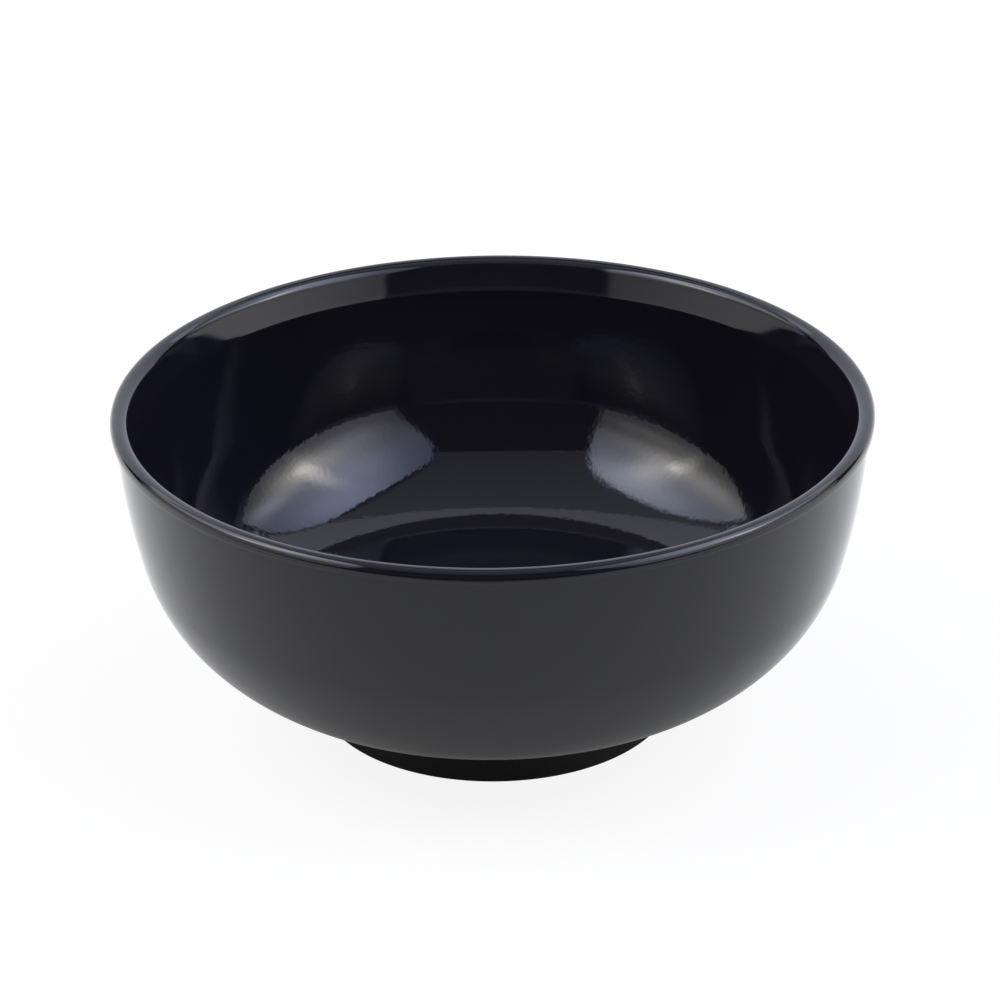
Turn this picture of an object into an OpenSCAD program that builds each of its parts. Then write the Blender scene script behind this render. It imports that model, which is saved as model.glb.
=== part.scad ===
// Hair colour bowl: a moulded black bowl with a rounded rim and a flared lip inside it,
// and a rubber non-slip ring that clips over the moulded foot.
// Millimetres, +Z up, origin on the table at the centre of the foot.

/* [Bowl] */
// Outside diameter over the rim
rim_d = 140; // [120:1:180]
// Height from the table to the top of the rim
bowl_h = 61.8; // [56:0.1:85]
// Thickness of the moulded wall under the rim
wall_t = 4; // [3.4:0.1:5.5]
// How much thinner the wall is from the belly down
belly_thin = 0.7; // [0:0.1:0.8]
// Thickness of the floor inside the foot
floor_t = 3.3; // [3:0.1:6]

/* [Rim] */
// Radius of the rim's round on the outside
rim_outer_round = 1.45; // [1:0.05:1.6]
// Radius of the rim's wider round on the inside
rim_inner_round = 2.15; // [1.4:0.05:2.4]
// Depth of the rim's outside, from its top to its shoulder
rim_depth = 2.3; // [2:0.05:3]
// How far the rim stands proud of the wall outside
rim_proud = 0.75; // [0.45:0.05:1]
// Depth from the top of the rim to the crease where the flared lip ends inside
lip_depth = 6; // [4.8:0.1:9]

/* [Wall curve] */
// Lean of the wall right under the rim, in degrees from upright
top_lean = 2.7; // [0:0.1:8]
// Lean where the slow upper curve passes into the tight lower one
belly_lean = 13.8; // [10:0.2:22]
// Radius of the slow upper curve, outside
upper_curve_r = 126.7; // [90:0.1:160]

/* [Foot] */
// Outside diameter of the foot
foot_d = 67.2; // [56:0.2:80]
// Height of the foot, from the table to the underside of the wall
foot_h = 9.6; // [8:0.1:14]
// Fillet between the foot and the wall
foot_fillet = 1.2; // [0.5:0.1:2.5]
// Thickness of the foot wall that the ring grips
spigot_t = 3; // [2:0.1:5]
// Fillet round the recess under the floor
recess_fillet = 1.5; // [0.5:0.1:3]

/* [Non-slip ring] */
// Height of the ring's outer lip, which is the band that shows
ring_h = 5.6; // [4:0.1:7]
// Thickness of the outer lip
outer_lip_t = 2; // [1.2:0.1:3]
// Height of the inner lip
inner_lip_h = 4.4; // [2.5:0.1:6]
// Thickness of the inner lip
inner_lip_t = 1.6; // [1:0.1:3]
// Thickness of the sole under the foot
sole_t = 1.6; // [1:0.1:2.5]
// Radius of the rib on the foot that clips into the ring
rib_r = 0.45; // [0.2:0.05:0.7]
// Gap all round between the foot and the ring
ring_gap = 0.08; // [0.02:0.02:0.2]
// Rounding of the ring's bottom edges
ring_edge_r = 0.6; // [0.2:0.1:1]

/* [Tread] */
// Number of grooves round the sole
tread_count = 2; // [0:1:3]
// Width of each groove
tread_w = 0.8; // [0.4:0.1:1]
// Depth of each groove
tread_depth = 0.5; // [0.2:0.1:0.8]

/* [Hidden] */
$fn = 180;

// Largest steps along the arcs of a section, in degrees: the lower curve of the wall,
// the slow upper curve, and the small rounds and fillets
arc_step = 2.5;
upper_curve_step = 0.8;
small_arc_step = 10;

// A lean is the angle of the wall's tangent from upright. This is the outward normal there.
function normal(lean) = [cos(lean), -sin(lean)];

// Points along an arc, from one angle to another, ends included
function arc(centre, r, from, to, step = arc_step) =
    let (n = max(1, ceil(abs(to - from) / step)))
    [for (i = [0:n]) let (a = from + (to - from) * i / n) centre + r * [cos(a), sin(a)]];

// Angle of one point seen from another
function bearing(from, to) = atan2(to[1] - from[1], to[0] - from[0]);

rim_r = rim_d / 2;
foot_r = foot_d / 2;

// The two rounds of the rim meet at its top, where both are level.
rim_top_r = rim_r - rim_outer_round;
rim_outer_c = [rim_top_r, bowl_h - rim_outer_round];
rim_inner_c = [rim_top_r, bowl_h - rim_inner_round];
shoulder_z = bowl_h - rim_depth;

// The slow upper curve starts under the rim, and the lower curve runs on from it
// without a kink until it lies level with the top of the foot.
wall_top = [rim_r - rim_proud, shoulder_z];
upper_c = wall_top - upper_curve_r * normal(top_lean);
belly = upper_c + upper_curve_r * normal(belly_lean);
lower_curve_r = (belly[1] - foot_h) / (1 - sin(belly_lean));
lower_c = belly - lower_curve_r * normal(belly_lean);

// Inside, a straight flared lip runs from a crease on the wall to the rim's round, tangent to it.
crease_curve_r = upper_curve_r - wall_t;
crease_angle = asin((bowl_h - lip_depth - upper_c[1]) / crease_curve_r);
crease = upper_c + crease_curve_r * [cos(crease_angle), sin(crease_angle)];
lip_touch = 360 + bearing(rim_inner_c, crease)
    - acos(rim_inner_round / norm(crease - rim_inner_c));

// The wall thins from the crease to the belly. The inner upper curve starts at the crease
// and runs into the inner lower one without a kink, at the same lean as outside.
belly_t = wall_t - belly_thin;
inner_lower_r = lower_curve_r - belly_t;
to_crease = crease - lower_c;
inner_upper_r = pow(norm(to_crease - inner_lower_r * normal(belly_lean)), 2)
    / (2 * (inner_lower_r - to_crease * normal(belly_lean)));
inner_upper_c = lower_c - (inner_upper_r - inner_lower_r) * normal(belly_lean);

inside_floor_z = foot_h + belly_t;
recess_z = inside_floor_z - floor_t;

// The rim's shoulder outside is a third edge round, a third level and a third fillet.
rim_edge_r = rim_proud / 3;
rim_fillet = rim_proud / 3;

// Fillets that touch the round wall from outside
rim_fillet_z = shoulder_z - rim_fillet;
rim_fillet_c = [
    upper_c[0] + sqrt(pow(upper_curve_r + rim_fillet, 2) - pow(rim_fillet_z - upper_c[1], 2)),
    rim_fillet_z
];
foot_reach = max(0, foot_r + foot_fillet - lower_c[0]);
foot_fillet_c = [
    foot_r + foot_fillet,
    lower_c[1] - sqrt(pow(lower_curve_r + foot_fillet, 2) - foot_reach * foot_reach)
];
foot_fillet_touch = [lower_c[0] + foot_reach, foot_fillet_c[1]];

// The foot is stepped in for the ring, which lies flush with it.
spigot_outer_r = foot_r - outer_lip_t - ring_gap;
spigot_inner_r = spigot_outer_r - spigot_t;
rib_z = (sole_t + ring_h) / 2;
channel_outer_r = spigot_outer_r + ring_gap;
channel_inner_r = spigot_inner_r - ring_gap;
ring_inner_r = channel_inner_r - inner_lip_t;
groove_r = rib_r + ring_gap;
groove_mouth = acos(ring_gap / groove_r);
inner_lip_round = inner_lip_t / 2;
tread_pitch = (foot_r - ring_inner_r) / (tread_count + 1);

// Half section of the bowl, from the middle of the floor up the inside, over the
// rim, down the outside, round the foot and back under the floor.
bowl_section = concat(
    [[0, inside_floor_z]],
    arc(lower_c, inner_lower_r, -90, -belly_lean),
    arc(inner_upper_c, inner_upper_r, -belly_lean, bearing(inner_upper_c, crease), upper_curve_step),
    arc(rim_inner_c, rim_inner_round, lip_touch, 90, small_arc_step),
    arc(rim_outer_c, rim_outer_round, 90, 0, small_arc_step),
    arc([rim_r - rim_edge_r, shoulder_z + rim_edge_r], rim_edge_r, 0, -90, small_arc_step),
    arc(rim_fillet_c, rim_fillet, 90, bearing(rim_fillet_c, upper_c), small_arc_step),
    arc(upper_c, upper_curve_r, bearing(upper_c, rim_fillet_c), -belly_lean, upper_curve_step),
    arc(lower_c, lower_curve_r, -belly_lean, bearing(lower_c, foot_fillet_touch)),
    arc(foot_fillet_c, foot_fillet, bearing(foot_fillet_touch, lower_c), 180, small_arc_step),
    [
        [foot_r, ring_h],
        [spigot_outer_r, ring_h]
    ],
    arc([spigot_outer_r, rib_z], rib_r, 90, -90, small_arc_step),
    [
        [spigot_outer_r, sole_t],
        [spigot_inner_r, sole_t]
    ],
    arc([spigot_inner_r - recess_fillet, recess_z - recess_fillet], recess_fillet, 0, 90,
        small_arc_step),
    [[0, recess_z]]
);

// Half section of the ring: a channel that takes the foot wall, with the groove for its rib.
ring_section = concat(
    arc([foot_r - ring_edge_r, ring_edge_r], ring_edge_r, -90, 0, small_arc_step),
    [
        [foot_r, ring_h],
        [channel_outer_r, ring_h]
    ],
    arc([spigot_outer_r, rib_z], groove_r, groove_mouth, -groove_mouth, small_arc_step),
    [
        [channel_outer_r, sole_t],
        [channel_inner_r, sole_t]
    ],
    arc([channel_inner_r - inner_lip_round, inner_lip_h - inner_lip_round], inner_lip_round, 0, 180,
        small_arc_step),
    arc([ring_inner_r + ring_edge_r, ring_edge_r], ring_edge_r, 180, 270, small_arc_step)
);

module bowl() {
    color("#202226")
        rotate_extrude()
            polygon(bowl_section);
}

// Grooves that let the sole grip a wet bench
module tread() {
    for (i = [1:1:tread_count])
        translate([ring_inner_r + i * tread_pitch - tread_w / 2, 0])
            square([tread_w, tread_depth]);
}

module non_slip_ring() {
    color("#0d0d0e")
        rotate_extrude()
            difference() {
                polygon(ring_section);
                tread();
            }
}

bowl();
non_slip_ring();
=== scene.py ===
"""Hair colour bowl: a glossy black moulded bowl that stands on a rubber non-slip ring.

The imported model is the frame. Each piece is a numpy surface in that frame, in metres, with its place in its mesh.
"""
import logging
import math
from dataclasses import dataclass
from enum import Enum
from typing import Any, Sequence

import bpy
import numpy as np
from mathutils import Matrix, Vector


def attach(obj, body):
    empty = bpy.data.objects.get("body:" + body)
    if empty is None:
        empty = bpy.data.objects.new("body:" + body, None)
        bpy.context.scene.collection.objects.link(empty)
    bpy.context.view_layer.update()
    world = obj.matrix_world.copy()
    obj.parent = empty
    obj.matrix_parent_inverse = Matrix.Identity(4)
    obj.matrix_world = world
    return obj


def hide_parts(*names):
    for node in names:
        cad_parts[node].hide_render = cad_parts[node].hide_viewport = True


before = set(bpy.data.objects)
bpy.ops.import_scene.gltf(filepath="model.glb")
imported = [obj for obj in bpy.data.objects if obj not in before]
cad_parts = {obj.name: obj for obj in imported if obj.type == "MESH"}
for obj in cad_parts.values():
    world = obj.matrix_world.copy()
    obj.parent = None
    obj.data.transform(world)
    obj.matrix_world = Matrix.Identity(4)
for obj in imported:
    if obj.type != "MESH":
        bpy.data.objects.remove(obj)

LOG = logging.getLogger("bowl")
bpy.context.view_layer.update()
MM = 0.001
SAME_POINT_MM = 0.001
BODY = "root"
Profile = np.ndarray


class Side(Enum):
    """Which side of the camera a softbox stands on, as the sign of its azimuth."""

    LEFT = -1
    RIGHT = 1


def linear(colour: str) -> tuple[float, float, float, float]:
    """Turns an sRGB hex colour into linear values.

    Args:
        colour: a hex colour such as "#0b0b10".

    Returns:
        Red, green, blue and alpha, linear.
    """
    srgb = np.array([int(colour[i:i + 2], 16) for i in (1, 3, 5)]) / 255
    values = np.where(srgb <= 0.04045, srgb / 12.92, ((srgb + 0.055) / 1.055) ** 2.4)
    return (*values.tolist(), 1.0)


def add_node(
    tree: bpy.types.NodeTree, kind: str, inputs: dict[Any, Any] | None = None, **settings: Any,
) -> bpy.types.Node:
    """Adds one node with its settings and links.

    Args:
        tree: the node tree that takes the node.
        kind: the node's type name.
        inputs: by input name or index, either a value or the output socket to link from.
        settings: attributes of the node itself.

    Returns:
        The new node.
    """
    node = tree.nodes.new(kind)
    for name, value in settings.items():
        setattr(node, name, value)
    for name, value in (inputs or {}).items():
        if isinstance(value, bpy.types.NodeSocket):
            tree.links.new(value, node.inputs[name])
        else:
            node.inputs[name].default_value = value
    return node


def arc(centre: Sequence[float], radius: float, start: float, end: float, count: int) -> Profile:
    """Points on a circle, from one angle in degrees to another, ends included.

    Args:
        centre: radius and height of the centre.
        radius: radius of the circle.
        start: first angle.
        end: last angle.
        count: number of points.

    Returns:
        An array of (radius, height) rows.
    """
    angle = np.radians(np.linspace(start, end, count))
    return np.asarray(centre) + radius * np.stack([np.cos(angle), np.sin(angle)], axis=1)


def bearing(origin: Sequence[float], target: Sequence[float]) -> float:
    """Angle in degrees of one point seen from another."""
    return math.degrees(math.atan2(target[1] - origin[1], target[0] - origin[0]))


def rounded(
    before: Sequence[float], corner: Sequence[float], after: Sequence[float], radius: float, count: int,
) -> Profile:
    """Rounds the corner between two straight runs with the circle that touches both.

    Args:
        before: a point on the run that comes in.
        corner: the sharp corner.
        after: a point on the run that goes out.
        radius: radius of the round.
        count: number of points on it.

    Returns:
        An array of (radius, height) rows, from the first touching point to the second.
    """
    tip = np.asarray(corner, float)
    into = np.asarray(before, float) - tip
    out = np.asarray(after, float) - tip
    into, out = into / np.linalg.norm(into), out / np.linalg.norm(out)
    half = math.acos(float(np.clip(into @ out, -1, 1))) / 2
    middle = (into + out) / np.linalg.norm(into + out)
    centre = tip + middle * radius / math.sin(half)
    first = bearing(centre, tip + into * radius / math.tan(half))
    last = bearing(centre, tip + out * radius / math.tan(half))
    sweep = (last - first + 180) % 360 - 180
    return arc(centre, radius, first, first + sweep, count)


def straight(start: Sequence[float], end: Sequence[float], count: int) -> Profile:
    """Points spread evenly on a line, ends included."""
    return np.linspace(np.asarray(start, float), np.asarray(end, float), count)


def joined(*runs: Profile) -> Profile:
    """Runs put end to end, with points closer than a micrometre to the one before left out."""
    points = np.concatenate([np.atleast_2d(run) for run in runs])
    apart = np.linalg.norm(np.diff(points, axis=0), axis=1) > SAME_POINT_MM
    return points[np.concatenate([[True], apart])]


def lathe(name: str, profile: Profile, segments: int, closed: bool) -> bpy.types.Object:
    """Carries a profile round the Z axis: x = r cos a, y = r sin a, z = h, for every angle a of the grid.

    Args:
        name: name of the piece.
        profile: (radius, height) rows in millimetres, with the material on the right of the way they run.
        segments: steps round the axis.
        closed: True for a loop; False for a run that starts and ends on the axis, which closes in two poles.

    Returns:
        The new object, at the origin, smooth shaded.
    """
    angle = np.linspace(0, 2 * np.pi, segments, endpoint=False)
    rows = profile if closed else profile[1:-1]
    ring = np.stack([np.cos(angle), np.sin(angle)], axis=1)
    flat = rows[:, None, :1] * ring[None]
    level = np.broadcast_to(rows[:, None, 1:], (len(rows), segments, 1))
    points = np.concatenate([flat, level], axis=2).reshape(-1, 3)
    count = len(rows)
    i, j = np.meshgrid(np.arange(count if closed else count - 1), np.arange(segments), indexing="ij")
    below, beside = (i + 1) % count, (j + 1) % segments
    faces = np.stack([
        i * segments + j, below * segments + j, below * segments + beside, i * segments + beside,
    ], axis=-1)
    faces = faces.reshape(-1, 4).tolist()
    if not closed:
        step = np.arange(segments)
        turn = (step + 1) % segments
        first, last = len(points), len(points) + 1
        poles = np.array([[0, 0, profile[0, 1]], [0, 0, profile[-1, 1]]])
        points = np.concatenate([points, poles])
        end = (count - 1) * segments
        faces += np.stack([np.full(segments, first), step, turn], axis=1).tolist()
        faces += np.stack([end + step, np.full(segments, last), end + turn], axis=1).tolist()
    mesh = bpy.data.meshes.new(name)
    mesh.from_pydata((points * MM).tolist(), [], faces)
    mesh.polygons.foreach_set("use_smooth", np.ones(len(mesh.polygons), dtype=bool))
    mesh.update()
    piece = bpy.data.objects.new(name, mesh)
    bpy.context.scene.collection.objects.link(piece)
    return piece


@dataclass(frozen=True)
class GlossMelamine:
    """Black melamine, pressed in a polished mould.

    The mould's polish gives a deep gloss over a near-black body with a cool cast. The resin shrinks a little as it
    cures, which leaves a faint orange peel that makes edges in a reflection waver. The lip and the rim are buffed after
    moulding to take off the flash, and have no peel.
    """

    body: str = "#131218"
    body_light: str = "#16151b"
    ior: float = 1.5
    gloss: tuple[float, float] = (0.04, 0.065)
    cloud_mm: float = 38.0
    peel_mm: float = 1.0
    peel_height_mm: float = 0.012
    haze_mm: float = 0.9
    haze_span: tuple[float, float] = (0.3, 0.7)
    buffed_mm: tuple[float, float] = (53.5, 55.8)

    def material(self) -> bpy.types.Material:
        """Builds the material.

        Returns:
            A material with clouded colour, uneven gloss and orange peel on Object coordinates.
        """
        material = bpy.data.materials.new("gloss_black_melamine")
        material.use_nodes = True
        tree = material.node_tree
        tree.nodes.clear()
        place = add_node(tree, "ShaderNodeTexCoord").outputs["Object"]
        cloud = add_node(tree, "ShaderNodeTexNoise", {
            "Vector": place, "Scale": 1 / (self.cloud_mm * MM), "Detail": 3.0,
        })
        colour = add_node(tree, "ShaderNodeMix", {
            "Factor": cloud.outputs["Fac"], "A": linear(self.body), "B": linear(self.body_light),
        }, data_type="RGBA")
        haze = add_node(tree, "ShaderNodeTexNoise", {"Vector": place, "Scale": 1 / (self.haze_mm * MM), "Detail": 4.0})
        gloss = add_node(tree, "ShaderNodeMapRange", {
            "Value": haze.outputs["Fac"], "From Min": self.haze_span[0], "From Max": self.haze_span[1],
            "To Min": self.gloss[0], "To Max": self.gloss[1],
        })
        peel = add_node(tree, "ShaderNodeTexNoise", {"Vector": place, "Scale": 1 / (self.peel_mm * MM), "Detail": 1.0})
        height = add_node(tree, "ShaderNodeSeparateXYZ", {"Vector": place}).outputs["Z"]
        rough = add_node(tree, "ShaderNodeMapRange", {
            "Value": height, "From Min": self.buffed_mm[0] * MM, "From Max": self.buffed_mm[1] * MM,
            "To Min": 1.0, "To Max": 0.0,
        })
        bump = add_node(tree, "ShaderNodeBump", {
            "Height": peel.outputs["Fac"], "Distance": self.peel_height_mm * MM, "Strength": rough.outputs["Result"],
        })
        shader = add_node(tree, "ShaderNodeBsdfPrincipled", {
            "Base Color": colour.outputs["Result"], "Roughness": gloss.outputs["Result"], "IOR": self.ior,
            "Normal": bump.outputs["Normal"],
        })
        add_node(tree, "ShaderNodeOutputMaterial", {"Surface": shader.outputs["BSDF"]})
        return material


@dataclass(frozen=True)
class MouldedRubber:
    """Black rubber, moulded in a spark-eroded tool.

    The tool's fine pits leave a dead matte, slightly mottled skin that hardly shines, so the band reads darker than the
    glossy wall above it.
    """

    body: str = "#08080a"
    mottle: str = "#0f0f11"
    roughness: tuple[float, float] = (0.72, 0.88)
    sheen: float = 0.45
    grit_mm: float = 0.45
    grit_height_mm: float = 0.03
    grit_strength: float = 0.6

    def material(self) -> bpy.types.Material:
        """Builds the material.

        Returns:
            A material with a gritty, mottled skin on Object coordinates.
        """
        material = bpy.data.materials.new("moulded_rubber")
        material.use_nodes = True
        tree = material.node_tree
        tree.nodes.clear()
        place = add_node(tree, "ShaderNodeTexCoord").outputs["Object"]
        grit = add_node(tree, "ShaderNodeTexNoise", {"Vector": place, "Scale": 1 / (self.grit_mm * MM), "Detail": 3.0})
        colour = add_node(tree, "ShaderNodeMix", {
            "Factor": grit.outputs["Fac"], "A": linear(self.body), "B": linear(self.mottle),
        }, data_type="RGBA")
        rough = add_node(tree, "ShaderNodeMapRange", {
            "Value": grit.outputs["Fac"], "To Min": self.roughness[0], "To Max": self.roughness[1],
        })
        bump = add_node(tree, "ShaderNodeBump", {
            "Height": grit.outputs["Fac"], "Distance": self.grit_height_mm * MM,
            "Strength": self.grit_strength,
        })
        shader = add_node(tree, "ShaderNodeBsdfPrincipled", {
            "Base Color": colour.outputs["Result"], "Roughness": rough.outputs["Result"],
            "Specular IOR Level": self.sheen, "Normal": bump.outputs["Normal"],
        })
        add_node(tree, "ShaderNodeOutputMaterial", {"Surface": shader.outputs["BSDF"]})
        return material


@dataclass
class Foot:
    """Sizes in millimetres where the bowl's foot and the ring meet, which both pieces share."""

    radius: float = 33.6
    height: float = 9.6
    ring_height: float = 5.6
    outer_lip: float = 2.0
    wall: float = 3.0
    gap: float = 0.08
    sole: float = 1.6
    rib: float = 0.45

    @property
    def spigot_outer(self) -> float:
        """Outer radius of the foot wall inside the ring."""
        return self.radius - self.outer_lip - self.gap

    @property
    def spigot_inner(self) -> float:
        """Inner radius of the foot wall."""
        return self.spigot_outer - self.wall

    @property
    def rib_height(self) -> float:
        """Height of the middle of the rib that holds the ring."""
        return (self.sole + self.ring_height) / 2


@dataclass
class BowlShell:
    """The moulded bowl, in millimetres: wall on two arcs, rounded rim, flared lip inside it, and foot."""

    foot: Foot
    finish: GlossMelamine
    rim_radius: float = 70.0
    height: float = 61.8
    wall: float = 4.0
    belly_thin: float = 0.7
    floor: float = 3.3
    rim_outer: float = 1.45
    rim_inner: float = 2.15
    rim_depth: float = 2.3
    rim_proud: float = 0.75
    rim_edge: float = 0.25
    rim_fillet: float = 0.25
    lip_depth: float = 6.0
    crease_round: float = 0.3
    top_lean: float = 2.7
    belly_lean: float = 13.8
    upper_curve: float = 126.7
    foot_fillet: float = 1.2
    recess_fillet: float = 1.5
    edge_round: float = 0.15
    segments: int = 288

    def profile(self) -> Profile:
        """Section of the bowl, from the middle of the floor over the rim and round the foot to the recess.

        The wall is a slow arc that runs into a tight one without a kink, outside and inside. It thins from a crease
        under the lip to the belly. From the crease a straight lip leans out to touch the rim. The rim has a wide round
        inside and a tighter one outside, which meet level at the top, and it ends in a small shoulder.

        Returns:
            (radius, height) rows in millimetres.
        """
        foot = self.foot
        lean = np.radians([self.top_lean, self.belly_lean])
        normal = np.stack([np.cos(lean), -np.sin(lean)], axis=1)
        rim_top = np.array([self.rim_radius - self.rim_outer, self.height])
        rim_inside = rim_top - [0, self.rim_inner]
        shoulder = self.height - self.rim_depth
        upper = np.array([self.rim_radius - self.rim_proud, shoulder]) - self.upper_curve * normal[0]
        belly = upper + self.upper_curve * normal[1]
        lower_curve = (belly[1] - foot.height) / (1 - math.sin(lean[1]))
        lower = belly - lower_curve * normal[1]
        belly_wall = self.wall - self.belly_thin
        inner_lower = lower_curve - belly_wall
        floor_level = foot.height + belly_wall
        recess_level = floor_level - self.floor

        inner_curve = self.upper_curve - self.wall
        crease_angle = math.degrees(math.asin((self.height - self.lip_depth - upper[1]) / inner_curve))
        crease = arc(upper, inner_curve, crease_angle, crease_angle, 1)[0]
        chord = crease - lower - inner_lower * normal[1]
        inner_upper = chord @ chord / (2 * (inner_lower - (crease - lower) @ normal[1]))
        inner_centre = lower - (inner_upper - inner_lower) * normal[1]
        reach = np.linalg.norm(crease - rim_inside)
        lip_touch = 360 + bearing(rim_inside, crease) - math.degrees(math.acos(self.rim_inner / reach))
        lip_top = arc(rim_inside, self.rim_inner, lip_touch, lip_touch, 1)[0]
        inside_upper = arc(inner_centre, inner_upper, -self.belly_lean, bearing(inner_centre, crease), 30)
        crease_run = rounded(inside_upper[-2], crease, lip_top, self.crease_round, 5)

        under = shoulder - self.rim_fillet
        spread = math.sqrt((self.upper_curve + self.rim_fillet) ** 2 - (under - upper[1]) ** 2)
        under_rim = np.array([upper[0] + spread, under])

        reach_foot = max(0.0, foot.radius + self.foot_fillet - lower[0])
        fillet_level = lower[1] - math.sqrt((lower_curve + self.foot_fillet) ** 2 - reach_foot ** 2)
        fillet_centre = np.array([foot.radius + self.foot_fillet, fillet_level])
        foot_touch = np.array([lower[0] + reach_foot, fillet_level])

        foot_edge = [foot.radius, foot.ring_height]
        step = [foot.spigot_outer, foot.ring_height]
        rib_centre = [foot.spigot_outer, foot.rib_height]
        foot_end = [foot.spigot_outer, foot.sole]
        foot_inside = [foot.spigot_inner, foot.sole]
        recess_centre = [foot.spigot_inner - self.recess_fillet, recess_level - self.recess_fillet]
        return joined(
            straight([0, floor_level], [lower[0], floor_level], 14),
            arc(lower, inner_lower, -90, -self.belly_lean, 56),
            inside_upper[:-1],
            crease_run,
            straight(crease_run[-1], lip_top, 6),
            arc(rim_inside, self.rim_inner, lip_touch, 90, 22),
            arc(rim_top - [0, self.rim_outer], self.rim_outer, 90, 0, 22),
            arc([self.rim_radius - self.rim_edge, shoulder + self.rim_edge], self.rim_edge, 0, -90, 8),
            arc(under_rim, self.rim_fillet, 90, bearing(under_rim, upper), 8),
            arc(upper, self.upper_curve, bearing(upper, under_rim), -self.belly_lean, 30),
            arc(lower, lower_curve, -self.belly_lean, bearing(lower, foot_touch), 60),
            arc(fillet_centre, self.foot_fillet, bearing(foot_touch, lower), 180, 10),
            rounded([foot.radius, foot.height], foot_edge, step, self.edge_round, 4),
            straight(step, step, 1),
            arc(rib_centre, foot.rib, 90, -90, 10),
            rounded(rib_centre, foot_end, foot_inside, self.edge_round, 4),
            rounded(foot_end, foot_inside, [foot.spigot_inner, recess_level], self.edge_round, 4),
            arc(recess_centre, self.recess_fillet, 0, 90, 10),
            straight([recess_centre[0], recess_level], [0, recess_level], 10),
        )

    def build(self) -> bpy.types.Object:
        """Builds and dresses the bowl in place of its CAD node.

        Returns:
            The piece.
        """
        piece = lathe("bowl_shell", self.profile(), self.segments, closed=False)
        piece.data.materials.append(self.finish.material())
        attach(piece, BODY)
        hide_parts("bowl")
        return piece


@dataclass
class NonSlipRing:
    """The rubber ring under the foot, in millimetres: a channel for the foot wall, over a sole with grooves."""

    foot: Foot
    finish: MouldedRubber
    inner_lip: float = 1.6
    inner_lip_height: float = 4.4
    edge_round: float = 0.6
    top_round: float = 0.2
    tread_count: int = 2
    tread_width: float = 0.8
    tread_depth: float = 0.5
    band_inset: float = 1.0
    segments: int = 240

    def profile(self) -> Profile:
        """Section of the ring, once round: down its outside is the visible band, and its sole carries the tread.

        Returns:
            (radius, height) rows in millimetres, a closed loop with the rubber on the right of the way they run.
        """
        foot = self.foot
        outer = foot.spigot_outer + foot.gap
        inner = foot.spigot_inner - foot.gap
        bore = inner - self.inner_lip
        groove = foot.rib + foot.gap
        mouth = math.degrees(math.acos(foot.gap / groove))
        half_lip = self.inner_lip / 2
        pitch = (foot.radius - bore) / (self.tread_count + 1)
        sole = []
        for index in range(self.tread_count, 0, -1):
            middle = bore + index * pitch
            left, right = middle - self.tread_width / 2, middle + self.tread_width / 2
            sole.append(np.array([
                [right, 0], [right, self.tread_depth], [left, self.tread_depth], [left, 0],
            ]))
        top_outer = [foot.radius, foot.ring_height]
        top_inner = [outer, foot.ring_height]
        return joined(
            arc([bore + self.edge_round, self.edge_round], self.edge_round, 270, 180, 8),
            arc([inner - half_lip, self.inner_lip_height - half_lip], half_lip, 180, 0, 14),
            straight([inner, foot.sole], [outer, foot.sole], 5),
            arc([foot.spigot_outer, foot.rib_height], groove, -mouth, mouth, 8),
            rounded([outer, foot.sole], top_inner, top_outer, self.top_round, 4),
            rounded(top_inner, top_outer, [foot.radius, 0], self.top_round, 5),
            straight([foot.radius, foot.ring_height - self.band_inset], [foot.radius, self.band_inset], 5),
            arc([foot.radius - self.edge_round, self.edge_round], self.edge_round, 0, -90, 8),
            *sole,
        )

    def build(self) -> bpy.types.Object:
        """Builds and dresses the ring in place of its CAD node.

        Returns:
            The piece.
        """
        piece = lathe("rubber_ring", self.profile(), self.segments, closed=True)
        piece.data.materials.append(self.finish.material())
        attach(piece, BODY)
        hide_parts("non_slip_ring")
        return piece


@dataclass(frozen=True)
class Glow:
    """A bell-shaped bright spot on a softbox, in metres right and up from its middle as seen from the bowl."""

    centre: tuple[float, float]
    size: tuple[float, float]
    level: float
    tint: str = "#fff9ec"

    def light(self, tree: bpy.types.NodeTree, place: bpy.types.NodeSocket) -> bpy.types.NodeSocket:
        """Adds the nodes that give the spot's light at a place on the panel.

        Args:
            tree: the light's node tree.
            place: metres right and up from the panel's middle.

        Returns:
            The tint times level * exp(-d * d) at d sizes from the centre.
        """
        offset = add_node(tree, "ShaderNodeVectorMath", {
            0: place, 1: (*self.centre, 0),
        }, operation="SUBTRACT").outputs[0]
        scaled = add_node(tree, "ShaderNodeVectorMath", {0: offset, 1: (*self.size, 1)}, operation="DIVIDE").outputs[0]
        square = add_node(tree, "ShaderNodeVectorMath", {
            0: scaled, 1: scaled,
        }, operation="DOT_PRODUCT").outputs["Value"]
        fall = add_node(tree, "ShaderNodeMath", {0: square, 1: -1.0}, operation="MULTIPLY").outputs[0]
        bell = add_node(tree, "ShaderNodeMath", {0: fall}, operation="EXPONENT").outputs[0]
        strength = add_node(tree, "ShaderNodeMath", {0: bell, 1: self.level}, operation="MULTIPLY").outputs[0]
        return add_node(tree, "ShaderNodeVectorMath", {
            0: linear(self.tint)[:3], "Scale": strength,
        }, operation="SCALE").outputs[0]


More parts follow.
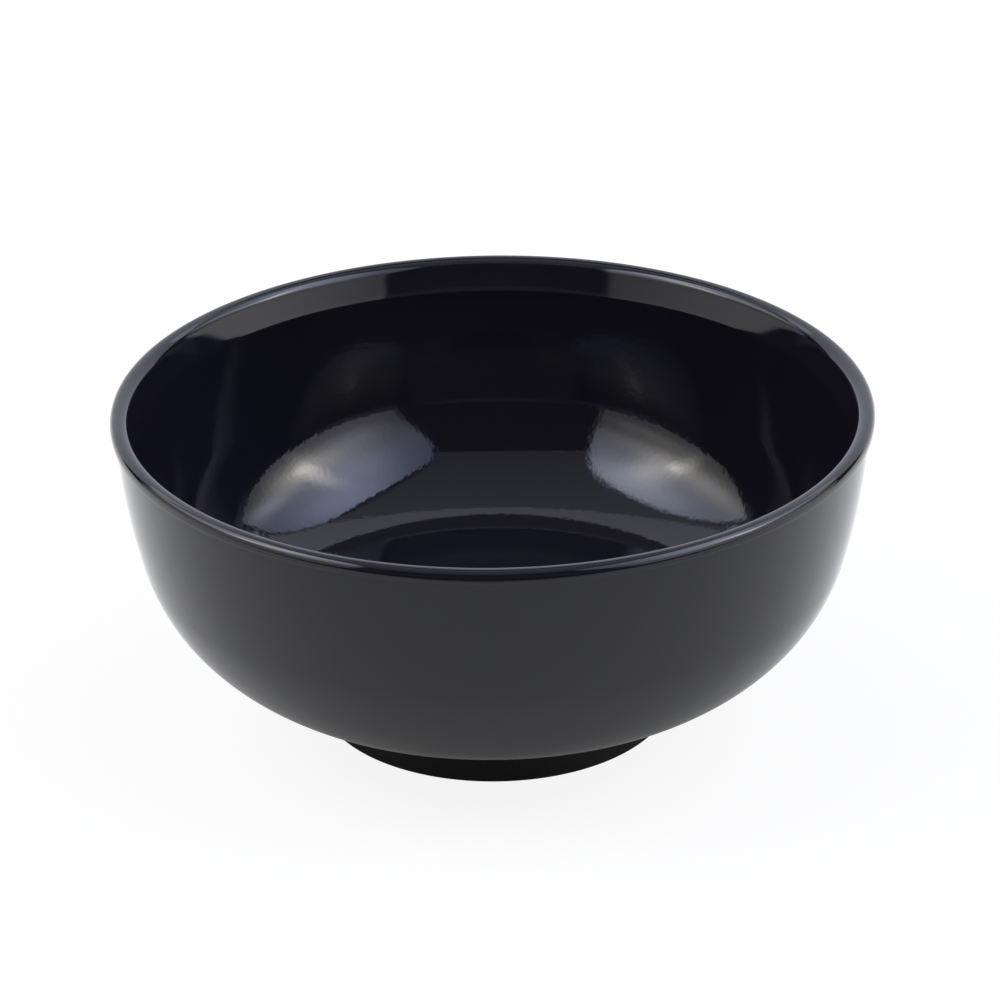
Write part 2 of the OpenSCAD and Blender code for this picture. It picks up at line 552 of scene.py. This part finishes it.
@dataclass(frozen=True)
class Outline:
    """The lit shape on a softbox: a soft-edged oval, boxier as its power grows and wider at its foot. In metres."""

    centre: tuple[float, float]
    half: tuple[float, float]
    power: float
    flare: float
    soft: float = 0.08
    least_taper: float = 0.2

    def mask(self, tree: bpy.types.NodeTree, place: bpy.types.NodeSocket) -> bpy.types.NodeSocket:
        """Adds the nodes that tell inside from outside.

        Args:
            tree: the light's node tree.
            place: metres right and up from the panel's middle.

        Returns:
            1 where (x / half width / (1 - flare * y)) ** power + (y / half height) ** power is below 1, and 0 beyond
            the soft edge.
        """
        height = add_node(tree, "ShaderNodeSeparateXYZ", {"Vector": place}).outputs["Y"]
        taper = add_node(tree, "ShaderNodeMath", {
            0: height, 1: -self.flare, 2: 1.0,
        }, operation="MULTIPLY_ADD").outputs[0]
        spread = add_node(tree, "ShaderNodeMath", {0: taper, 1: self.least_taper}, operation="MAXIMUM").outputs[0]
        offset = add_node(tree, "ShaderNodeVectorMath", {
            0: place, 1: (*self.centre, 0),
        }, operation="SUBTRACT").outputs[0]
        scaled = add_node(tree, "ShaderNodeVectorMath", {0: offset, 1: (*self.half, 1)}, operation="DIVIDE").outputs[0]
        size = add_node(tree, "ShaderNodeVectorMath", {0: scaled}, operation="ABSOLUTE").outputs[0]
        parts = add_node(tree, "ShaderNodeSeparateXYZ", {"Vector": size})
        across = add_node(tree, "ShaderNodeMath", {0: parts.outputs["X"], 1: spread}, operation="DIVIDE").outputs[0]
        wide = add_node(tree, "ShaderNodeMath", {0: across, 1: self.power}, operation="POWER").outputs[0]
        high = add_node(tree, "ShaderNodeMath", {0: parts.outputs["Y"], 1: self.power}, operation="POWER").outputs[0]
        reach = add_node(tree, "ShaderNodeMath", {0: wide, 1: high}, operation="ADD").outputs[0]
        return add_node(tree, "ShaderNodeMapRange", {
            "Value": reach, "From Min": 1 - self.soft, "From Max": 1 + self.soft, "To Min": 1.0, "To Max": 0.0,
        }, interpolation_type="SMOOTHSTEP").outputs["Result"]


@dataclass
class Panel:
    """A flat panel of light that faces the bowl. Angles in degrees, lengths in metres."""

    name: str
    azimuth: float
    elevation: float
    distance: float
    width: float
    height: float
    level: float = 1.0
    tint: str = "#ecf2ff"

    @property
    def axes(self) -> tuple[Vector, Vector, Vector]:
        """Right and up on the panel as seen from the bowl, and the way out to it."""
        turn, rise = math.radians(self.azimuth), math.radians(self.elevation)
        out = Vector((math.sin(turn) * math.cos(rise), math.cos(turn) * math.cos(rise), math.sin(rise)))
        up = Vector((-math.sin(turn) * math.sin(rise), -math.cos(turn) * math.sin(rise), math.cos(rise)))
        return out.cross(up), up, out

    def emission(self, tree: bpy.types.NodeTree, place: bpy.types.NodeSocket) -> bpy.types.NodeSocket:
        """Adds the nodes of the panel's light, which here is even.

        Args:
            tree: the light's node tree.
            place: metres right and up from the panel's middle, as seen from the bowl. Not used.

        Returns:
            The emission.
        """
        return add_node(tree, "ShaderNodeEmission", {"Color": linear(self.tint), "Strength": self.level}).outputs[0]

    def build(self, target: Vector) -> bpy.types.Object:
        """Places the panel round a target. Its energy makes a strength of 1 a radiance of 1.

        Args:
            target: the point that the panel faces.

        Returns:
            The light.
        """
        light = bpy.data.lights.new(self.name, "AREA")
        light.shape = "RECTANGLE"
        light.size, light.size_y = self.width, self.height
        light.energy = math.pi * self.width * self.height
        light.use_nodes = True
        tree = light.node_tree
        tree.nodes.clear()
        place = add_node(tree, "ShaderNodeVectorMath", {
            0: add_node(tree, "ShaderNodeNewGeometry").outputs["Parametric"],
            1: (-self.width, self.height, 0), 2: (self.width / 2, -self.height / 2, 0),
        }, operation="MULTIPLY_ADD").outputs[0]
        add_node(tree, "ShaderNodeOutputLight", {"Surface": self.emission(tree, place)})
        right, up, out = self.axes
        panel = bpy.data.objects.new(self.name, light)
        panel.rotation_mode = "QUATERNION"
        panel.rotation_quaternion = Matrix((-right, up, out)).transposed().to_quaternion()
        panel.location = target + out * self.distance
        bpy.context.scene.collection.objects.link(panel)
        return panel


@dataclass
class Softbox(Panel):
    """A cloth softbox: dimmer under its lamp, with a lit outline and bright spots where the lamp and its folds show."""

    outline: Outline = Outline((0.0, 0.0), (0.8, 0.7), 3.0, 0.5)
    glows: tuple[Glow, ...] = ()
    low_level: float = 0.55
    lamp_height: tuple[float, float] = (-0.12, 0.3)
    top: float = 0.45
    low_tint: str = "#eef0ff"

    def emission(self, tree: bpy.types.NodeTree, place: bpy.types.NodeSocket) -> bpy.types.NodeSocket:
        """Adds the nodes of the softbox's light: cool cloth inside the outline, with tinted spots over it.

        Args:
            tree: the light's node tree.
            place: metres right and up from the panel's middle, as seen from the bowl.

        Returns:
            The emission.
        """
        mask = self.outline.mask(tree, place)
        height = add_node(tree, "ShaderNodeSeparateXYZ", {"Vector": place}).outputs["Y"]
        cloth = add_node(tree, "ShaderNodeMapRange", {
            "Value": height, "From Min": self.lamp_height[0], "From Max": self.lamp_height[1],
            "To Min": self.low_level, "To Max": self.level,
        }, interpolation_type="SMOOTHSTEP").outputs["Result"]
        rise = add_node(tree, "ShaderNodeMapRange", {
            "Value": height, "From Min": self.lamp_height[0], "From Max": self.top,
        }).outputs["Result"]
        cool = add_node(tree, "ShaderNodeMix", {
            "Factor": rise, "A": linear(self.low_tint), "B": linear(self.tint),
        }, data_type="RGBA").outputs["Result"]
        light = add_node(tree, "ShaderNodeVectorMath", {0: cool, "Scale": cloth}, operation="SCALE").outputs[0]
        for glow in self.glows:
            light = add_node(tree, "ShaderNodeVectorMath", {
                0: light, 1: glow.light(tree, place),
            }, operation="ADD").outputs[0]
        return add_node(tree, "ShaderNodeEmission", {"Color": light, "Strength": mask}).outputs[0]


@dataclass
class Canopy(Panel):
    """The cloth over the set: a dim roof, brighter from a seam backwards, with a dark tongue-shaped gap at the back."""

    roof: tuple[float, float] = (0.3, 0.5)
    seam: float = 0.197
    seam_bend: float = 0.45
    gap_start: float = 0.306
    gap_bend: float = 1.9
    gap_level: float = 0.08
    soft: float = 0.02
    middle: float = 0.18
    hidden_by: tuple[Softbox, ...] = ()
    overlap: float = 0.975
    least_ahead: float = 0.05

    def emission(self, tree: bpy.types.NodeTree, place: bpy.types.NodeSocket) -> bpy.types.NodeSocket:
        """Adds the nodes of the canopy's light. Places count in canopy heights, back from a point above the bowl.

        Args:
            tree: the light's node tree.
            place: metres left and back from the panel's middle.

        Returns:
            The emission: the roof brightens evenly up to the seam, and the gap is all behind a second line. Both lines
            follow y = start + bend * x * x. What lies behind a softbox, as seen from the bowl, is left dark.
        """
        scaled = add_node(tree, "ShaderNodeVectorMath", {
            0: place, 1: (1 / self.distance, 1 / self.distance, 0), 2: (0, self.middle, 0),
        }, operation="MULTIPLY_ADD").outputs[0]
        parts = add_node(tree, "ShaderNodeSeparateXYZ", {"Vector": scaled})
        across, back = parts.outputs["X"], parts.outputs["Y"]
        roof = add_node(tree, "ShaderNodeMapRange", {
            "Value": back, "From Min": self.middle - self.height / self.distance / 2, "From Max": self.seam,
            "To Min": self.roof[0], "To Max": self.roof[1],
        }).outputs["Result"]
        bend = add_node(tree, "ShaderNodeMath", {0: across, 1: across}, operation="MULTIPLY").outputs[0]
        strength = roof
        for start, curve, level in (
            (self.seam, self.seam_bend, self.level), (self.gap_start, self.gap_bend, self.gap_level),
        ):
            edge = add_node(tree, "ShaderNodeMath", {0: bend, 1: curve, 2: start}, operation="MULTIPLY_ADD").outputs[0]
            past = add_node(tree, "ShaderNodeMath", {0: back, 1: edge}, operation="SUBTRACT").outputs[0]
            behind = add_node(tree, "ShaderNodeMapRange", {
                "Value": past, "From Min": -self.soft, "From Max": self.soft,
            }, interpolation_type="SMOOTHSTEP").outputs["Result"]
            strength = add_node(tree, "ShaderNodeMix", {"Factor": behind, "A": strength, "B": level}).outputs["Result"]
        ray = add_node(tree, "ShaderNodeVectorMath", {
            0: place, 1: (-1, 1, 0), 2: (0, self.middle * self.distance, self.distance),
        }, operation="MULTIPLY_ADD").outputs[0]
        for box in self.hidden_by:
            far = [add_node(tree, "ShaderNodeVectorMath", {0: ray, 1: axis}, operation="DOT_PRODUCT").outputs["Value"]
                   for axis in box.axes]
            spot = add_node(tree, "ShaderNodeCombineXYZ", {"X": far[0], "Y": far[1]}).outputs[0]
            ahead = add_node(tree, "ShaderNodeMath", {0: far[2], 1: self.least_ahead}, operation="MAXIMUM").outputs[0]
            reach = add_node(tree, "ShaderNodeMath", {
                0: box.distance * self.overlap, 1: ahead,
            }, operation="DIVIDE").outputs[0]
            hit = add_node(tree, "ShaderNodeVectorMath", {0: spot, "Scale": reach}, operation="SCALE").outputs[0]
            clear = add_node(tree, "ShaderNodeMath", {
                0: 1.0, 1: box.outline.mask(tree, hit),
            }, operation="SUBTRACT").outputs[0]
            strength = add_node(tree, "ShaderNodeMath", {0: strength, 1: clear}, operation="MULTIPLY").outputs[0]
        return add_node(tree, "ShaderNodeEmission", {"Color": linear(self.tint), "Strength": strength}).outputs[0]

    def build(self, target: Vector) -> bpy.types.Object:
        """Places the canopy above a target, with its middle a little behind.

        Args:
            target: the point under the canopy.

        Returns:
            The light.
        """
        panel = super().build(target)
        panel.location.y += self.middle * self.distance
        return panel


@dataclass
class Studio:
    """Camera at the photograph's angle, pale floor, two softboxes, back panel, dim front card and cloth canopy."""

    aim_mm: tuple[float, float, float] = (1.19, 0.0, 41.047)
    distance_mm: float = 698.4
    elevation: float = 26.108
    roll: float = -0.681
    lens: float = 135.26
    sensor: float = 36.0
    clip_start: float = 0.01
    lit_point: tuple[float, float, float] = (0.0, 0.0, 0.04)
    floor_half: float = 3.0
    floor_colour: str = "#d2d1cc"
    floor_white: float = 0.8
    # Painted reflection: to glossy rays the floor glows white, with a share that rises towards the back, at a level
    # that drops round the foot.
    painted_reflection_share: float = 0.66
    # Painted shadow: to glossy rays the floor's colour and glow are darkened round the foot.
    painted_shadow_depth: float = 0.66
    floor_bright: float = 1.1
    painted_reflection_level: float = 1.62
    painted_reflection_span: tuple[float, float] = (-0.15, 0.12)
    painted_shadow_span: tuple[float, float] = (0.036, 0.084)
    room: float = 0.03
    # Where the floor is painted dark to glossy rays, in front of the bowl.
    painted_dark_start: float = -0.17
    painted_dark_end: float = -0.20

    def camera(self) -> bpy.types.Object:
        """Makes the camera: it looks at the aim point from the front, above the rim, and is rolled a little.

        Returns:
            The camera, which is the scene's own.
        """
        rise, roll = math.radians(self.elevation), math.radians(self.roll)
        back = Vector((0, -math.cos(rise), math.sin(rise)))
        right = Vector((1, 0, 0))
        up = back.cross(right)
        axes = (right * math.cos(roll) + up * math.sin(roll), up * math.cos(roll) - right * math.sin(roll), back)
        place = Matrix(axes).transposed().to_4x4()
        place.translation = (Vector(self.aim_mm) + back * self.distance_mm) * MM
        data = bpy.data.cameras.new("camera")
        data.sensor_width, data.lens, data.clip_start = self.sensor, self.lens, self.clip_start
        camera = bpy.data.objects.new("camera", data)
        camera.matrix_world = place
        bpy.context.scene.collection.objects.link(camera)
        bpy.context.scene.camera = camera
        return camera

    def floor(self) -> bpy.types.Object:
        """Makes the floor, a pale matte sheet. What the bowl mirrors of it is a painted reflection: it glows brighter,
        more towards the back, and has a painted shadow round the foot.

        In those reflections it is painted dark from a little in front of the bowl.

        Returns:
            The floor.
        """
        half = self.floor_half
        mesh = bpy.data.meshes.new("floor")
        mesh.from_pydata([(-half, -half, 0), (half, -half, 0), (half, half, 0), (-half, half, 0)], [], [(0, 1, 2, 3)])
        material = bpy.data.materials.new("matte_white_paper")
        material.use_nodes = True
        tree = material.node_tree
        tree.nodes.clear()
        place = add_node(tree, "ShaderNodeTexCoord").outputs["Object"]
        depth = add_node(tree, "ShaderNodeSeparateXYZ", {"Vector": place}).outputs["Y"]
        path = add_node(tree, "ShaderNodeLightPath")
        seen, mirrored = path.outputs["Is Camera Ray"], path.outputs["Is Glossy Ray"]
        # Painted reflection: glossy rays see the floor glow white, with a share that rises towards the back.
        back = add_node(tree, "ShaderNodeMapRange", {
            "Value": depth, "From Min": self.painted_reflection_span[0], "From Max": self.painted_reflection_span[1],
            "To Min": 0.0, "To Max": self.painted_reflection_share,
        }, interpolation_type="SMOOTHSTEP").outputs["Result"]
        sheen = add_node(tree, "ShaderNodeMath", {0: mirrored, 1: back}, operation="MULTIPLY").outputs[0]
        share = add_node(tree, "ShaderNodeMath", {
            0: seen, 1: self.floor_white, 2: sheen,
        }, operation="MULTIPLY_ADD").outputs[0]
        # Painted shadow: round the foot, what the bowl mirrors of the floor is darkened.
        near = add_node(tree, "ShaderNodeMapRange", {
            "Value": add_node(tree, "ShaderNodeVectorMath", {0: place}, operation="LENGTH").outputs["Value"],
            "From Min": self.painted_shadow_span[0], "From Max": self.painted_shadow_span[1], "To Min": self.painted_shadow_depth, "To Max": 0.0,
        }, interpolation_type="SMOOTHSTEP").outputs["Result"]
        painted_shadow_mirrored = add_node(tree, "ShaderNodeMath", {0: near, 1: mirrored}, operation="MULTIPLY").outputs[0]
        # Painted reflection: the glow's level for glossy rays, lower where the painted shadow round the foot falls.
        painted_reflection_strength = add_node(tree, "ShaderNodeMapRange", {
            "Value": near, "To Min": self.painted_reflection_level, "To Max": 0.0,
        }).outputs["Result"]
        level = add_node(tree, "ShaderNodeMix", {
            "Factor": mirrored, "A": self.floor_bright, "B": painted_reflection_strength,
        }).outputs["Result"]
        # Painted shadow: the paper's colour goes towards black round the foot, for glossy rays only.
        colour = add_node(tree, "ShaderNodeMix", {
            "Factor": painted_shadow_mirrored, "A": linear(self.floor_colour), "B": (0, 0, 0, 1),
        }, data_type="RGBA").outputs["Result"]
        paper = add_node(tree, "ShaderNodeBsdfDiffuse", {"Color": colour})
        white = add_node(tree, "ShaderNodeEmission", {"Color": (1, 1, 1, 1), "Strength": level})
        lit = add_node(tree, "ShaderNodeMixShader", {0: share, 1: paper.outputs["BSDF"], 2: white.outputs["Emission"]})
        # Painted dark reflection: beyond a line in front of the bowl, glossy rays see a dim glow instead of the floor.
        beyond = add_node(tree, "ShaderNodeMapRange", {
            "Value": depth, "From Min": self.painted_dark_end, "From Max": self.painted_dark_start, "To Min": 1.0, "To Max": 0.0,
        })
        cut = add_node(tree, "ShaderNodeMath", {
            0: beyond.outputs["Result"], 1: mirrored,
        }, operation="MULTIPLY").outputs[0]
        dark = add_node(tree, "ShaderNodeEmission", {"Color": (1, 1, 1, 1), "Strength": self.room})
        mix = add_node(tree, "ShaderNodeMixShader", {0: cut, 1: lit.outputs["Shader"], 2: dark.outputs["Emission"]})
        add_node(tree, "ShaderNodeOutputMaterial", {"Surface": mix.outputs["Shader"]})
        mesh.materials.append(material)
        floor = bpy.data.objects.new("floor", mesh)
        bpy.context.scene.collection.objects.link(floor)
        return floor

    def world(self) -> None:
        """Makes the world: white to the camera, and a dim room to all other rays."""
        world = bpy.data.worlds.new("studio")
        bpy.context.scene.world = world
        world.use_nodes = True
        tree = world.node_tree
        tree.nodes.clear()
        level = add_node(tree, "ShaderNodeMapRange", {
            "Value": add_node(tree, "ShaderNodeLightPath").outputs["Is Camera Ray"], "To Min": self.room, "To Max": 1.0,
        })
        sky = add_node(tree, "ShaderNodeBackground", {"Color": (1, 1, 1, 1), "Strength": level.outputs["Result"]})
        add_node(tree, "ShaderNodeOutputWorld", {"Surface": sky.outputs["Background"]})

    def panels(self) -> list[Panel]:
        """Lists the lights.

        Returns:
            The two softboxes, the back panel, the dim card in front and the canopy.
        """
        stand = {"elevation": 30.0, "distance": 1.1, "width": 2.1, "height": 1.46}
        turn = 105.0
        left = Softbox(
            "softbox_left", Side.LEFT.value * turn, **stand, level=2.0, tint="#d3deff",
            outline=Outline((0.13, -0.1), (0.8, 0.77), 3.0, 0.5, 0.2), glows=(
                Glow((0.0, 0.24), (0.14, 0.19), 3.8), Glow((0.05, 0.5), (0.45, 0.26), 3.8, "#e9eeff"),
                Glow((0.08, 0.09), (0.05, 0.06), 4.8), Glow((0.13, 0.0), (0.06, 0.13), 2.4),
                Glow((0.2, 0.06), (0.58, 0.13), 2.7), Glow((-0.2, -0.14), (0.42, 0.07), 0.9),
                Glow((0.0, -0.5), (1.2, 0.22), 0.55),
            ),
        )
        right = Softbox(
            "softbox_right", Side.RIGHT.value * turn, **stand, level=1.5, tint="#c9d6ff",
            outline=Outline((0.0, -0.03), (0.87, 0.79), 4.0, 0.12, 0.16), glows=(
                Glow((-0.25, 0.6), (0.38, 0.3), 3.0, "#cedaff"), Glow((0.12, 0.27), (0.33, 0.28), 2.6, "#dfe6ff"),
                Glow((-0.08, 0.13), (0.07, 0.22), 4.4), Glow((-0.12, 0.02), (0.28, 0.14), 4.2),
                Glow((-0.13, 0.01), (0.07, 0.06), 3.2), Glow((-0.55, 0.13), (0.24, 0.09), 2.2, "#e3eaff"),
                Glow((0.37, -0.04), (0.31, 0.16), 1.6, "#eef0ff"), Glow((0.0, -0.5), (1.2, 0.24), 1.05, "#f6f5f8"),
            ),
        )
        back = Panel("back_panel", 0.0, 24.0, 1.5, 3.6, 1.6, level=1.1)
        front = Panel("front_card", 180.0, 10.0, 1.5, 2.6, 0.26, level=0.12)
        canopy = Canopy("canopy", 180.0, 90.0, 1.2, 4.0, 2.2, level=1.1, tint="#edf2ff", hidden_by=(left, right))
        return [left, right, back, front, canopy]

    def build(self) -> None:
        """Makes the camera, the floor, the world and the lights."""
        scene = bpy.context.scene
        scene.view_settings.view_transform = "Standard"
        self.camera()
        self.floor()
        self.world()
        for panel in self.panels():
            panel.build(Vector(self.lit_point))


def main() -> None:
    """Builds the studio and the two pieces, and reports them."""
    logging.basicConfig(level=logging.INFO, format="%(name)s: %(message)s")
    Studio().build()
    foot = Foot()
    for assembly in (BowlShell(foot, GlossMelamine()), NonSlipRing(foot, MouldedRubber())):
        piece = assembly.build()
        LOG.info("%s: %d faces, %s", piece.name, len(piece.data.polygons), piece.data.materials[0].name)


if __name__ == "__main__":
    main()
